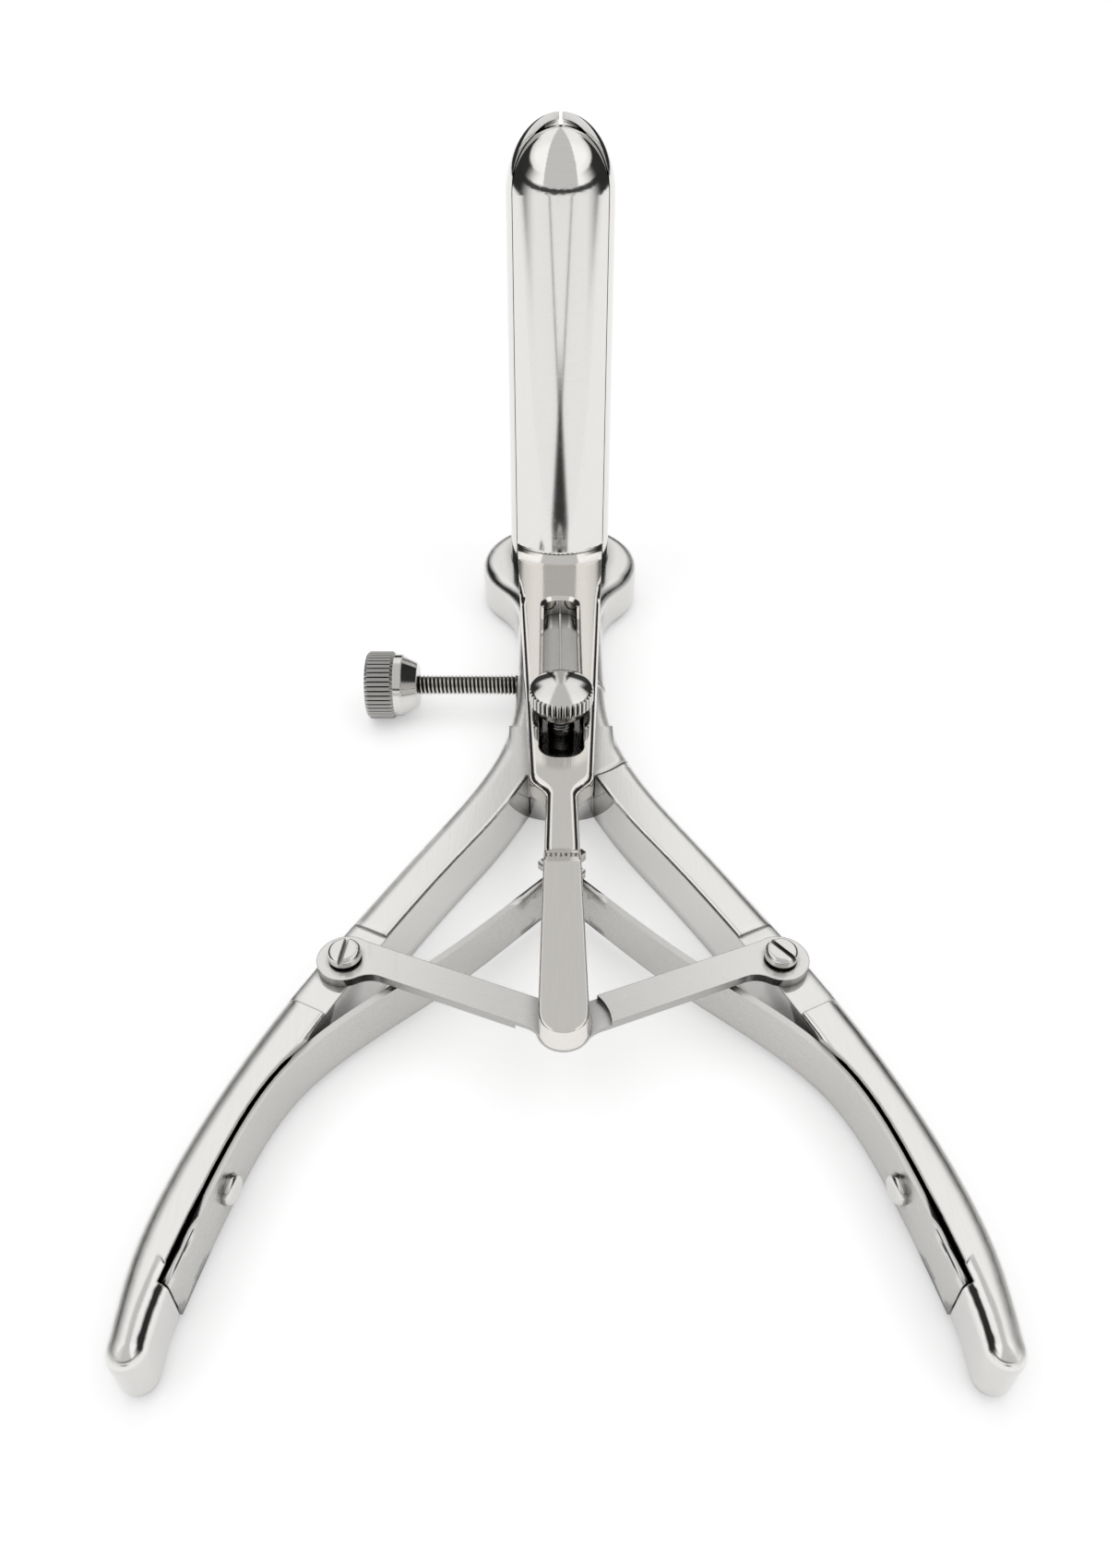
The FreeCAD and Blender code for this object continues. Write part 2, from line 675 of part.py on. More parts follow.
def rounded_prism(half, y0, y1, corner, z0, z1):
    return Part.Face(rounded_wire(half, y0, y1, corner, z0)).extrude(Vector(0, 0, z1 - z0))


def front_piece():
    """Plate, tongue and front blade in one, before they are parted at the braze line."""
    tube = tube_shell(FRONT_DOME).common(box(-BIG, BIG, -BIG, BIG, PLATE_TOP - PAST, BIG))
    whole = round_blade_root(plate_profile().fuse(tube).removeSplitter())
    whole = whole.common(Part.Face(plate_outline()).extrude(Vector(0, 0, BIG)))
    half = FRONT_HALF_ANGLE
    whole = whole.cut(tube_bore(FRONT_DOME))
    whole = whole.cut(sector(half, 360 - half, BIG))
    whole = whole.cut(seam_wall(half, SEAM_GAP)).cut(seam_wall(-half, SEAM_GAP))
    return whole.common(rounding_space()).cut(slot_cutter()).removeSplitter()


def tube_bore(dome):
    """The hollow inside the tube."""
    bore = domed_rod(TUBE_RADIUS - BLADE_WALL, dome - BLADE_WALL)
    bore.Placement = tube_placement()
    return bore


def round_blade_root(whole):
    """Concave fillet where the plate turns up into the front blade."""
    roots = []
    for edge in whole.Edges:
        bounds = edge.BoundBox
        on_plate = abs(bounds.ZMax - PLATE_TOP) < CLOSE and bounds.ZLength < CLOSE
        if on_plate and abs(bounds.YMin - TUBE_FRONT_Y) < 10 * CLOSE:
            roots.append(edge)
    return whole.makeFillet(BLADE_ROOT_FILLET, roots)


def braze_space():
    """Everything above the braze line, square to the tube's axis."""
    space = box(-BIG, BIG, -BIG, BIG, BLADE_ROOT_HEIGHT, BIG)
    space.Placement = tube_placement()
    return space


def front_blade(whole):
    return whole.common(braze_space())


def slide_plate(whole):
    """Slotted plate with the tongue, bored for the apex rivet."""
    plate = whole.cut(braze_space())
    return plate.cut(disc(APEX_PIN_RADIUS, LINK_BOTTOM, TONGUE_END_BOTTOM + APEX_PIN_DEPTH, 0, APEX_Y))


def pivot_stud():
    """Plain countersunk head flush with the levers' backs, and the stud that stands on it."""
    shoulder = STUD_TOP - STUD_BEVEL
    shank = disc(STUD_RADIUS, 0, shoulder)
    tip = Part.makeCone(STUD_RADIUS, STUD_RADIUS - STUD_BEVEL, STUD_BEVEL, Vector(0, 0, shoulder), UP)
    return shank.fuse(tip).fuse(pivot_countersink()).removeSplitter()


def clamp_knob():
    """Domed knurled nut that clamps the plate on the levers."""
    foot = PLATE_TOP
    rim = foot + KNOB_COLLAR_HEIGHT
    top = rim + KNOB_RIM_HEIGHT
    flat = KNOB_RADIUS - KNOB_BEVEL
    sphere_radius = (flat ** 2 + KNOB_DOME ** 2) / (2 * KNOB_DOME)
    angle = math.asin(flat / sphere_radius) / 2
    crown = Vector(0, 0, top + KNOB_DOME)
    shoulder = crown + Vector(sphere_radius * math.sin(angle), 0,
                              -sphere_radius * (1 - math.cos(angle)))
    side = Part.makePolygon([
        crown,
        Vector(0, 0, foot),
        Vector(KNOB_COLLAR_RADIUS, 0, foot),
        Vector(KNOB_COLLAR_RADIUS, 0, rim),
        Vector(flat, 0, rim),
        Vector(KNOB_RADIUS, 0, rim + KNOB_BEVEL),
        Vector(KNOB_RADIUS, 0, top - KNOB_BEVEL),
        Vector(flat, 0, top),
    ])
    dome = Part.Arc(Vector(flat, 0, top), shoulder, crown).toShape()
    knob = Part.Face(Part.Wire(side.Edges + [dome])).revolve(Vector(0, 0, 0), UP, 360)
    return knob.cut(disc(STUD_RADIUS, foot - PAST, foot + KNOB_BORE_DEPTH))


def link_length():
    return math.hypot(LINK_SCREW_X, LINK_SCREW_Y - APEX_Y)


def link_plan(z0, z1):
    """Flat link with the screw at the origin and the apex along +X; +Y is the pivot's side."""
    length = link_length()
    half = LINK_BAR_WIDTH / 2
    slope = Vector(length, -LINK_BAR_LIFT, 0).normalize()
    side = unit_left(slope) * half
    start = Vector(0, LINK_BAR_LIFT, 0)
    end = Vector(length, 0, 0)
    bar = Part.Face(Part.makePolygon([start + side, end + side, end - side, start - side,
                                      start + side])).extrude(Vector(0, 0, z1 - z0))
    bar.translate(Vector(0, 0, z0))
    link = bar.fuse(disc(LINK_OUTER_RADIUS, z0, z1)).fuse(disc(LINK_APEX_RADIUS, z0, z1, length))
    link = link.removeSplitter()
    corners = [edge for edge in link.Edges if is_inner_corner(edge, length)]
    link = link.makeFillet(LINK_BLEND, corners)
    link = link.cut(disc(LINK_SCREW_RADIUS + LINK_SCREW_RUNNING, z0 - PAST, z1 + PAST))
    return link.cut(disc(APEX_HOLE_RADIUS, z0 - PAST, z1 + PAST, length))


def is_inner_corner(edge, length):
    """True for the upright edges where the bar runs into a lobe."""
    bounds = edge.BoundBox
    upright = bounds.XLength < CLOSE and bounds.YLength < CLOSE
    near_apex = bounds.XMin > length - 1.5 * LINK_APEX_RADIUS
    below_screw = bounds.YMin < 0 and bounds.XMin < 2 * LINK_OUTER_RADIUS
    return upright and (near_apex or below_screw)


def place_right(link):
    """From the link's own frame to its place at the right handle."""
    angle = math.degrees(math.atan2(APEX_Y - LINK_SCREW_Y, -LINK_SCREW_X))
    flipped = link.mirror(Vector(0, 0, 0), Vector(0, 1, 0))
    flipped.rotate(Vector(0, 0, 0), UP, angle)
    flipped.translate(Vector(LINK_SCREW_X, LINK_SCREW_Y, 0))
    return flipped


def right_link():
    """Link whose inner end is halved from above, to lie under the left link's end."""
    lap_cut = disc(LINK_LAP_RADIUS, LINK_MIDDLE - LINK_STACK_GAP / 2, LINK_TOP + PAST, link_length())
    return place_right(link_plan(LINK_BOTTOM, LINK_TOP).cut(lap_cut))


def left_link():
    """Link whose inner end is halved from below, to lie over the right link's end."""
    lap_cut = disc(LINK_LAP_RADIUS, LINK_BOTTOM - PAST, LINK_MIDDLE + LINK_STACK_GAP / 2, link_length())
    return mirrored(place_right(link_plan(LINK_BOTTOM, LINK_TOP).cut(lap_cut)))


def link_screw(side, turn):
    """Shouldered screw whose slotted head stands a little off the link; side is 1 at the right."""
    head_z = LINK_BOTTOM + LINK_THICKNESS + LINK_SCREW_LIFT
    top = head_z + LINK_SCREW_HEAD_HEIGHT
    shank = disc(LINK_SCREW_RADIUS, LINK_BOTTOM - LINK_SCREW_DEPTH, head_z)
    head = disc(LINK_SCREW_HEAD_RADIUS, head_z, top)
    rim = [edge for edge in head.Edges if abs(edge.BoundBox.ZMin - top) < CLOSE]
    head = head.makeFillet(LINK_SCREW_ROUND, rim)
    half = SCREW_SLOT_WIDTH / 2
    slot = box(-BIG, BIG, -half, half, top - SCREW_SLOT_DEPTH, top + PAST)
    slot.rotate(Vector(0, 0, 0), UP, turn)
    screw = shank.fuse(head).cut(slot).removeSplitter()
    screw.translate(Vector(side * LINK_SCREW_X, LINK_SCREW_Y, 0))
    return screw


def apex_rivet():
    """Headed pin from below through both links into the tongue."""
    head_top = LINK_BOTTOM - LINK_STACK_GAP
    head_bottom = head_top - APEX_HEAD_HEIGHT
    pin = disc(APEX_PIN_RADIUS, head_bottom, TONGUE_END_BOTTOM + APEX_PIN_DEPTH, 0, APEX_Y)
    head = disc(APEX_HEAD_RADIUS, head_bottom, head_top, 0, APEX_Y)
    rim = [edge for edge in head.Edges if abs(edge.BoundBox.ZMax - head_bottom) < CLOSE]
    return pin.fuse(head.makeFillet(APEX_HEAD_ROUND, rim)).removeSplitter()


def spring_window(z0, z1):
    """Box over the free end of a spring, between two heights."""
    return box(-BIG, SPRING_SLIT_REACH, SPRING_CROSS_Y - SPRING_SLIT_REACH, BIG, z0, z1)


def spring_strip():
    """Bent ribbon of the right spring, bored for its screw."""
    strip = ribbon(spring_side_wire(), SPRING_BOTTOM, SPRING_TOP, SPRING_THICKNESS)
    return strip.cut(spring_screw_shank(SPRING_SCREW_RADIUS, SPRING_SCREW_DEPTH))


def prong_heights():
    """Bottom and top of the prong, a tine and a gap under the strip's upper edge."""
    top = SPRING_TOP - SPRING_TINE - SPRING_PRONG_GAP
    return top - SPRING_PRONG, top


def right_spring():
    """Ribbon that narrows to one prong at the crossing."""
    bottom, top = prong_heights()
    strip = spring_strip().cut(spring_window(SPRING_BOTTOM - PAST, bottom))
    return strip.cut(spring_window(top, SPRING_TOP + PAST))


def left_spring():
    """Ribbon whose free end is forked, so that the other spring's prong passes through."""
    bottom, top = prong_heights()
    fork_bottom = bottom - SPRING_PRONG_GAP
    strip = spring_strip().cut(spring_window(fork_bottom, top + SPRING_PRONG_GAP))
    strip = strip.cut(spring_window(SPRING_BOTTOM - PAST, fork_bottom - SPRING_TINE))
    return mirrored(strip)


def right_spring_screw():
    """Domed slotted screw that holds the spring in its rebate."""
    face, inward = spring_screw_frame()
    shank = spring_screw_shank(SPRING_SCREW_RADIUS, SPRING_SCREW_DEPTH)
    strip = ribbon(spring_side_wire(), SPRING_BOTTOM, SPRING_TOP, SPRING_THICKNESS)
    head = Part.makeCylinder(SPRING_SCREW_HEAD_RADIUS, SPRING_SCREW_HEAD_HEIGHT, face, inward)
    outer = face + inward * SPRING_SCREW_HEAD_HEIGHT
    rim = [e for e in head.Edges if e.Closed and (e.CenterOfMass - outer).Length < CLOSE]
    head = head.makeFillet(SPRING_SCREW_ROUND, rim)
    half = SCREW_SLOT_WIDTH / 2
    slot = box(-SPRING_SCREW_SLOT_DEPTH, PAST, -BIG, BIG, -half, half)
    angle = math.degrees(math.atan2(inward.y, inward.x))
    slot.rotate(Vector(0, 0, 0), UP, angle)
    slot.translate(outer)
    return shank.fuse(head.cut(strip)).cut(slot).removeSplitter()


def set_screw_rod():
    """Threaded rod that runs through the left neck; its end meets the right lever."""
    start = Vector(-SET_ROD_REACH - SET_ROD_SOCKET, SET_SCREW_Y, SET_SCREW_Z)
    length = SET_ROD_REACH + SET_ROD_SOCKET - PARTING / 2
    return Part.makeCylinder(SET_ROD_RADIUS, length, start, Vector(1, 0, 0))


def set_screw_head():
    """Knurled head, flange and cone on the rod's outer end."""
    x = -SET_ROD_REACH
    y = SET_SCREW_Y
    z = SET_SCREW_Z
    flange = x - SET_CONE_LENGTH
    knurl = flange - SET_FLANGE_LENGTH
    end = knurl - SET_HEAD_LENGTH
    outline = [
        Vector(x, y, z),
        Vector(x, y, z + SET_CONE_SMALL),
        Vector(flange, y, z + SET_CONE_LARGE),
        Vector(flange, y, z + SET_FLANGE_RADIUS),
        Vector(knurl + SET_FLANGE_BEVEL, y, z + SET_FLANGE_RADIUS),
        Vector(knurl, y, z + SET_HEAD_RADIUS - SET_HEAD_BEVEL),
        Vector(knurl - SET_HEAD_BEVEL, y, z + SET_HEAD_RADIUS),
        Vector(end + SET_HEAD_BEVEL, y, z + SET_HEAD_RADIUS),
        Vector(end, y, z + SET_HEAD_RADIUS - SET_HEAD_BEVEL),
        Vector(end, y, z),
    ]
    head = revolved(outline, Vector(0, y, z), Vector(1, 0, 0))
    return head.cut(set_screw_rod())


def all_nodes():
    """Every sub-part by its node name."""
    whole = front_piece()
    return {
        "left_lever": left_lever(),
        "right_lever": right_lever(),
        "left_blade": left_blade(),
        "right_blade": right_blade(),
        "front_blade": front_blade(whole),
        "slide_plate": slide_plate(whole),
        "pivot_stud": pivot_stud(),
        "clamp_knob": clamp_knob(),
        "left_link": left_link(),
        "right_link": right_link(),
        "left_link_screw": link_screw(-1, LEFT_LINK_SCREW_TURN),
        "right_link_screw": link_screw(1, RIGHT_LINK_SCREW_TURN),
        "apex_rivet": apex_rivet(),
        "left_spring": left_spring(),
        "right_spring": right_spring(),
        "left_spring_screw": mirrored(right_spring_screw()),
        "right_spring_screw": right_spring_screw(),
        "set_screw_rod": set_screw_rod(),
        "set_screw_head": set_screw_head(),
    }


def main():
    os.makedirs("parts", exist_ok=True)
    for node, shape in all_nodes().items():
        shape.exportStep("parts/%s.step" % node)


main()
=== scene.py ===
import math
import bmesh
import bpy
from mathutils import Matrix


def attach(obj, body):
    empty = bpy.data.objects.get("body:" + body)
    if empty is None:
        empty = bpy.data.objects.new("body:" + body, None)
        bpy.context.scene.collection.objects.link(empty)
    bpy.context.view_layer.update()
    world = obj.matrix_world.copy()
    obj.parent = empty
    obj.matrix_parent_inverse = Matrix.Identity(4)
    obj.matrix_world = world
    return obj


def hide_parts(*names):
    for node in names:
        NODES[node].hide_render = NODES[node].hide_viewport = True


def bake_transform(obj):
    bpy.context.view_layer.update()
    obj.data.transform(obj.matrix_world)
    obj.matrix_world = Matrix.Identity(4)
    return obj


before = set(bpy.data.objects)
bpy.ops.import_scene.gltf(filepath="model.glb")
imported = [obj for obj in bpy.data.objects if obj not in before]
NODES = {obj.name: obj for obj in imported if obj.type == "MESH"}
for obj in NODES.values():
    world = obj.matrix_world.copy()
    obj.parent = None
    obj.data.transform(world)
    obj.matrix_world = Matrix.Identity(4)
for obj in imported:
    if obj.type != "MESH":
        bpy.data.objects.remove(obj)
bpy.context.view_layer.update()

MM = 0.001

# Which finish each carried-over solid has
FINISHES = {
    "lever": ("left_lever", "right_lever"),
    "blade": ("left_blade", "right_blade", "front_blade"),
    "plate": ("slide_plate",),
    "link": ("left_link", "right_link"),
    "turned": ("left_link_screw", "right_link_screw", "apex_rivet",
               "left_spring_screw", "right_spring_screw"),
}

# Camera: place and focal length in millimetres, and degrees that it looks down
CAMERA_PLACE = (-1.4, -167.0, 140.8)
CAMERA_DIP = 40.9
LENS = 26.05
SENSOR = 36.0
NEAREST_SEEN = 10.0

# Sizes repeated from the part's source, in millimetres
PLATE_TOP = 14.52
ROOT_FILLET_TOP = 2.0
LEVER_DEPTH = 10.5
STUD_RADIUS = 2.45
STUD_TOP = 18.52
STUD_BEVEL = 0.5
STUD_PITCH = 0.7
STUD_HEAD_RADIUS = 5.2
STUD_HEAD_HEIGHT = 2.4
KNOB_RADIUS = 5.9
KNOB_COLLAR_RADIUS = 4.7
KNOB_COLLAR_HEIGHT = 1.8
KNOB_RIM_HEIGHT = 3.1
KNOB_DOME = 1.3
KNOB_FLUTES = 36
SET_SCREW_Y = 17.9
SET_SCREW_Z = 6.9
SET_ROD_RADIUS = 2.02
SET_ROD_START = -34.4
SET_ROD_END = -0.2
SET_ROD_PITCH = 0.794
SET_HEAD_START = -28.4
SET_CONE_LENGTH = 3.0
SET_CONE_SMALL = 4.5
SET_CONE_LARGE = 6.0
SET_FLANGE_RADIUS = 6.2
SET_FLANGE_LENGTH = 1.5
SET_HEAD_RADIUS = 6.7
SET_HEAD_LENGTH = 5.5
TUBE_TILT = 13.0
SPRING_SEAT_TOP_Y = -74.0

# Threads: rows to a turn, how steep the flank is and how much of it the crest takes
THREAD_STEPS = 10
THREAD_FLANK = 1.25
THREAD_CREST = 0.125

# Turned detail that only this file has, in millimetres, with the number of segments round each piece
STUD_THREAD_DEPTH = 0.32
STUD_HEAD_CHAMFER = 0.05
STUD_THREAD_CLEAR = 0.3
STUD_THREAD_START = 0.5
STUD_SEGMENTS = 64
ROD_THREAD_DEPTH = 0.38
ROD_TIP_BEVEL = 0.3
ROD_TIP_LENGTH = 0.1
ROD_END_BEVEL = 0.45
ROD_END_LENGTH = 0.5
ROD_SEGMENTS = 56

# Knurling: segments to a flute, how narrow the flutes are, and its bounds on a rim
FLUTE_SEGMENTS = 8
FLUTE_SHARPNESS = 1.5
KNURL_MARGIN = 0.1
KNURL_REACH = 0.4
KNOB_FLUTE_DEPTH = 0.38
KNOB_BEVEL = 0.35
KNOB_FOOT_BREAK = 0.15
KNOB_EDGE_BREAK = 0.1
KNOB_RIM_STEPS = 6
KNOB_DOME_STEPS = 20
HUB_RADIUS = 0.02
SET_HEAD_FLUTES = 44
SET_HEAD_FLUTE_DEPTH = 0.35
SET_HEAD_BEVEL = 0.5
SET_HEAD_STEPS = 8
SET_HEAD_END_SHARES = (0.85, 0.6, 0.3, 0.01)
SET_CONE_BEVEL = 0.3
SET_CONE_BREAK = 0.2
SET_CONE_STEP = 0.15
SET_CONE_STEP_LENGTH = 0.1

# Edges sharper than this, in degrees, stay sharp
THREAD_SMOOTHING = 50
KNURL_SMOOTHING = 38
SPRING_SMOOTHING = 40

# Leaf springs: how far the seat side is drawn in, how a face counts as facing the seat,
# how near points are welded, and how finely they are divided
SPRING_THINNING = 0.3
FACING = 0.5
SPRING_WELD = 0.001
SPRING_EDGE = 4.0
SPRING_SPLITS = 3

# Steel: polishing lines, clouds and hair scratches, and the upward share of the normal at which
# a face turns level, for its roughness, and upright, for the painted shade on upright faces
RAY_SAMPLES = 4
LINE_DETAIL = 6.0
LINE_TONE = 0.92
LINE_HEIGHT = 0.02
CLOUD_SCALE = 90.0
CLOUD_DETAIL = 4.0
SCRATCH_SCALE = (900.0, 140.0, 500.0)
SCRATCH_TURN = (0.3, 0.5, 0.7)
SCRATCH_DETAIL = 2.0
SCRATCH_DISTORTION = 0.6
SCRATCH_STOPS = ((0.0, 0.0), (0.66, 0.0), (0.72, 1.0), (1.0, 1.0))
SCRATCH_ROUGHNESS = 0.05
LEVEL_STEP = (0.95, 0.992)
UPRIGHT_SHADE_STEP = (0.35, 0.15)

# Depth in millimetres that counts as 1 in a groove, and the depths at which its painted shade is dark and
# clear
GROOVE_FULL = 0.35
GROOVE_SHADE_STEP = (1.1, 0.2)

# Painted shade deep in slots and corners: how far it looks round, and how closed it counts as dark
HOLLOW_SHADE_REACH = 5.0
HOLLOW_SHADE_DARK = 0.42
HOLLOW_SHADE_CLEAR = 0.66
HOLLOW_SHADE_TONE = 0.22

# Levers: width over which their faces fall away to the outer side, and the break of their other edges
CAMBER_REACH = 1.9
CAMBER_STEP = (0.0, 0.12)
LEVER_EDGE = 0.35

# Blades: distance along the tube over which satin turns to polish, from the origin, and both finishes
POLISH_START = 99.0
POLISH_END = 101.5
POLISH_ROUGHNESS = 0.05
SATIN_STRETCH = 0.7

# Greys of the tent's walls by height: 0 is straight down, 0.5 the horizon, 1 straight up
FRONT_TONES = ((0.0, 0.95), (0.5, 1.0), (0.61, 0.98), (0.635, 0.05), (0.675, 0.05), (0.70, 1.0),
               (1.0, 1.0))
BACK_TONES = ((0.0, 0.95), (0.495, 0.85), (0.515, 0.05), (0.66, 0.05), (0.71, 0.85), (0.77, 0.97),
              (0.86, 1.0), (1.0, 1.0))
SIDE_TONES = ((0.0, 0.95), (0.495, 0.95), (0.515, 0.03), (0.79, 0.03), (0.83, 0.85), (0.88, 1.0),
              (1.0, 1.0))
# Where the front wall turns to the back one, the back one to the sides, and the walls to the roof
REAR_STEP = (-0.6, 0.1)
SIDE_STEP = (0.30, 0.44)
ROOF_STEP = (0.68, 0.70)
# The two light panels overhead, their greys towards the front and the back, and the gap between them
PANEL_FRONT = 1.18
PANEL_BACK = 1.05
PANEL_GAP_TONE = 0.66
PANEL_GAP_MIDDLE = 0.33
PANEL_GAP_TAPER = 0.36
PANEL_BACK_STEP = (0.1, 0.5)
PANEL_RIM = 0.02
# Gap between the two front walls of the tent: its waist, and how fast it opens above and below it
GAP_HALF = 0.05
GAP_TOP = 0.06
GAP_SPREAD = 2.4
GAP_CLOSING = 0.05
GAP_RIM = 0.045
GAP_RIM_CORE = 0.4
GAP_RIM_DARK = 0.75
GAP_TONE = 0.03
LEAST_FORWARD = 0.001

# Floor, in metres: half width and back, front edge, drop below the part; its white and its glow
FLOOR_SIZE = 2.5
FLOOR_FRONT = -0.3
FLOOR_DROP = 0.00002
FLOOR_WHITE = 0.93
FLOOR_GLOW = 0.40


def make_camera():
    data = bpy.data.cameras.new("camera")
    data.lens = LENS
    data.sensor_width = SENSOR
    data.clip_start = NEAREST_SEEN * MM
    camera = bpy.data.objects.new("camera", data)
    camera.location = [value * MM for value in CAMERA_PLACE]
    camera.rotation_euler = (math.radians(90 - CAMERA_DIP), 0, 0)
    bpy.context.scene.collection.objects.link(camera)
    bpy.context.scene.camera = camera
    bpy.context.scene.view_settings.view_transform = "Standard"


def link(tree, source, output, target, socket):
    tree.links.new(source.outputs[output], target.inputs[socket])


def feed(tree, value, socket):
    """Sets a socket to a number, or links an output to it."""
    if isinstance(value, (int, float)):
        socket.default_value = value
    else:
        tree.links.new(value, socket)


def math_node(tree, operation, *values):
    node = tree.nodes.new("ShaderNodeMath")
    node.operation = operation
    for place, value in enumerate(values):
        feed(tree, value, node.inputs[place])
    return node.outputs[0]


def ramp(tree, value, stops):
    """A colour ramp of greys over a value from 0 to 1."""
    node = tree.nodes.new("ShaderNodeValToRGB")
    elements = node.color_ramp.elements
    while len(elements) < len(stops):
        elements.new(0.5)
    for element, (place, grey) in zip(elements, stops):
        element.position = place
        element.color = (grey, grey, grey, 1)
    node.color_ramp.interpolation = "EASE"
    tree.links.new(value, node.inputs[0])
    return node.outputs[0]


def front_gap(tree, split):
    """How dark the front of the tent is: a gap at the horizon, waisted, whose rims part higher up."""
    forward = math_node(tree, "MAXIMUM", math_node(tree, "MULTIPLY", split.outputs[1], -1.0), LEAST_FORWARD)
    aside = math_node(tree, "DIVIDE", math_node(tree, "ABSOLUTE", split.outputs[0]), forward)
    above = math_node(tree, "SUBTRACT", math_node(tree, "DIVIDE", split.outputs[2], forward), GAP_TOP)
    opening = math_node(tree, "MULTIPLY", math_node(tree, "ABSOLUTE", above), GAP_SPREAD)
    past = math_node(tree, "SUBTRACT", aside, math_node(tree, "ADD", opening, GAP_HALF))
    rim = soft_step(tree, math_node(tree, "ABSOLUTE", past), GAP_RIM, GAP_RIM_CORE * GAP_RIM)
    low = soft_step(tree, above, GAP_CLOSING, 0.0)
    inside = math_node(tree, "MULTIPLY", soft_step(tree, past, 0.0, -GAP_RIM), low)
    return math_node(tree, "MAXIMUM", math_node(tree, "MULTIPLY", rim, GAP_RIM_DARK), inside)


def soft_step(tree, value, none, full):
    """0 at one value and 1 at another, smooth between."""
    node = tree.nodes.new("ShaderNodeMapRange")
    node.interpolation_type = "SMOOTHSTEP"
    node.inputs["From Min"].default_value = none
    node.inputs["From Max"].default_value = full
    tree.links.new(value, node.inputs["Value"])
    return node.outputs["Result"]


def mix_values(tree, factor, first, second):
    node = tree.nodes.new("ShaderNodeMix")
    node.data_type = "FLOAT"
    tree.links.new(factor, node.inputs[0])
    feed(tree, first, node.inputs[2])
    feed(tree, second, node.inputs[3])
    return node.outputs[0]


def noise(tree, vector, scale, detail, distortion=0.0):
    node = tree.nodes.new("ShaderNodeTexNoise")
    node.inputs["Scale"].default_value = scale
    node.inputs["Detail"].default_value = detail
    node.inputs["Distortion"].default_value = distortion
    link(tree, vector, 0, node, "Vector")
    return node.outputs[0]


def object_place(tree, scale=(1.0, 1.0, 1.0), turn=(0.0, 0.0, 0.0)):
    """The place on the object, scaled and turned."""
    place = tree.nodes.new("ShaderNodeTexCoord")
    mapping = tree.nodes.new("ShaderNodeMapping")
    mapping.inputs["Scale"].default_value = scale
    mapping.inputs["Rotation"].default_value = turn
    link(tree, place, "Object", mapping, 0)
    return mapping


def panel_tone(tree, split):
    """Grey of the tent's roof: two light panels whose gap narrows towards the back."""
    reach = soft_step(tree, split.outputs[1], *PANEL_BACK_STEP)
    panels = mix_values(tree, reach, PANEL_FRONT, PANEL_BACK)
    half = math_node(tree, "MULTIPLY_ADD", split.outputs[1], -PANEL_GAP_TAPER, PANEL_GAP_MIDDLE)
    past = math_node(tree, "SUBTRACT", math_node(tree, "ABSOLUTE", split.outputs[0]), half)
    return mix_values(tree, soft_step(tree, past, -PANEL_RIM, PANEL_RIM), PANEL_GAP_TONE, panels)


def make_world():
    """A white tent with dark gaps: between its front walls, and where the walls meet the roof.

    The camera itself sees plain white past the floor.
    """
    world = bpy.data.worlds.new("studio")
    bpy.context.scene.world = world
    world.use_nodes = True
    tree = world.node_tree
    tree.nodes.clear()
    place = tree.nodes.new("ShaderNodeTexCoord")
    split = tree.nodes.new("ShaderNodeSeparateXYZ")
    link(tree, place, "Generated", split, 0)
    height = math_node(tree, "MULTIPLY_ADD", split.outputs[2], 0.5, 0.5)
    rearward = soft_step(tree, split.outputs[1], *REAR_STEP)
    sideward = soft_step(tree, math_node(tree, "ABSOLUTE", split.outputs[0]), *SIDE_STEP)
    back = mix_values(tree, sideward, ramp(tree, height, BACK_TONES), ramp(tree, height, SIDE_TONES))
    walls = mix_values(tree, rearward, ramp(tree, height, FRONT_TONES), back)
    roof = mix_values(tree, soft_step(tree, height, *ROOF_STEP), 1.0, panel_tone(tree, split))
    grey = mix_values(tree, front_gap(tree, split), math_node(tree, "MULTIPLY", walls, roof), GAP_TONE)
    background = tree.nodes.new("ShaderNodeBackground")
    background.inputs[1].default_value = 1.0
    path = tree.nodes.new("ShaderNodeLightPath")
    tree.links.new(mix_values(tree, path.outputs["Is Camera Ray"], grey, 1.0), background.inputs[0])
    output = tree.nodes.new("ShaderNodeOutputWorld")
    link(tree, background, 0, output, 0)


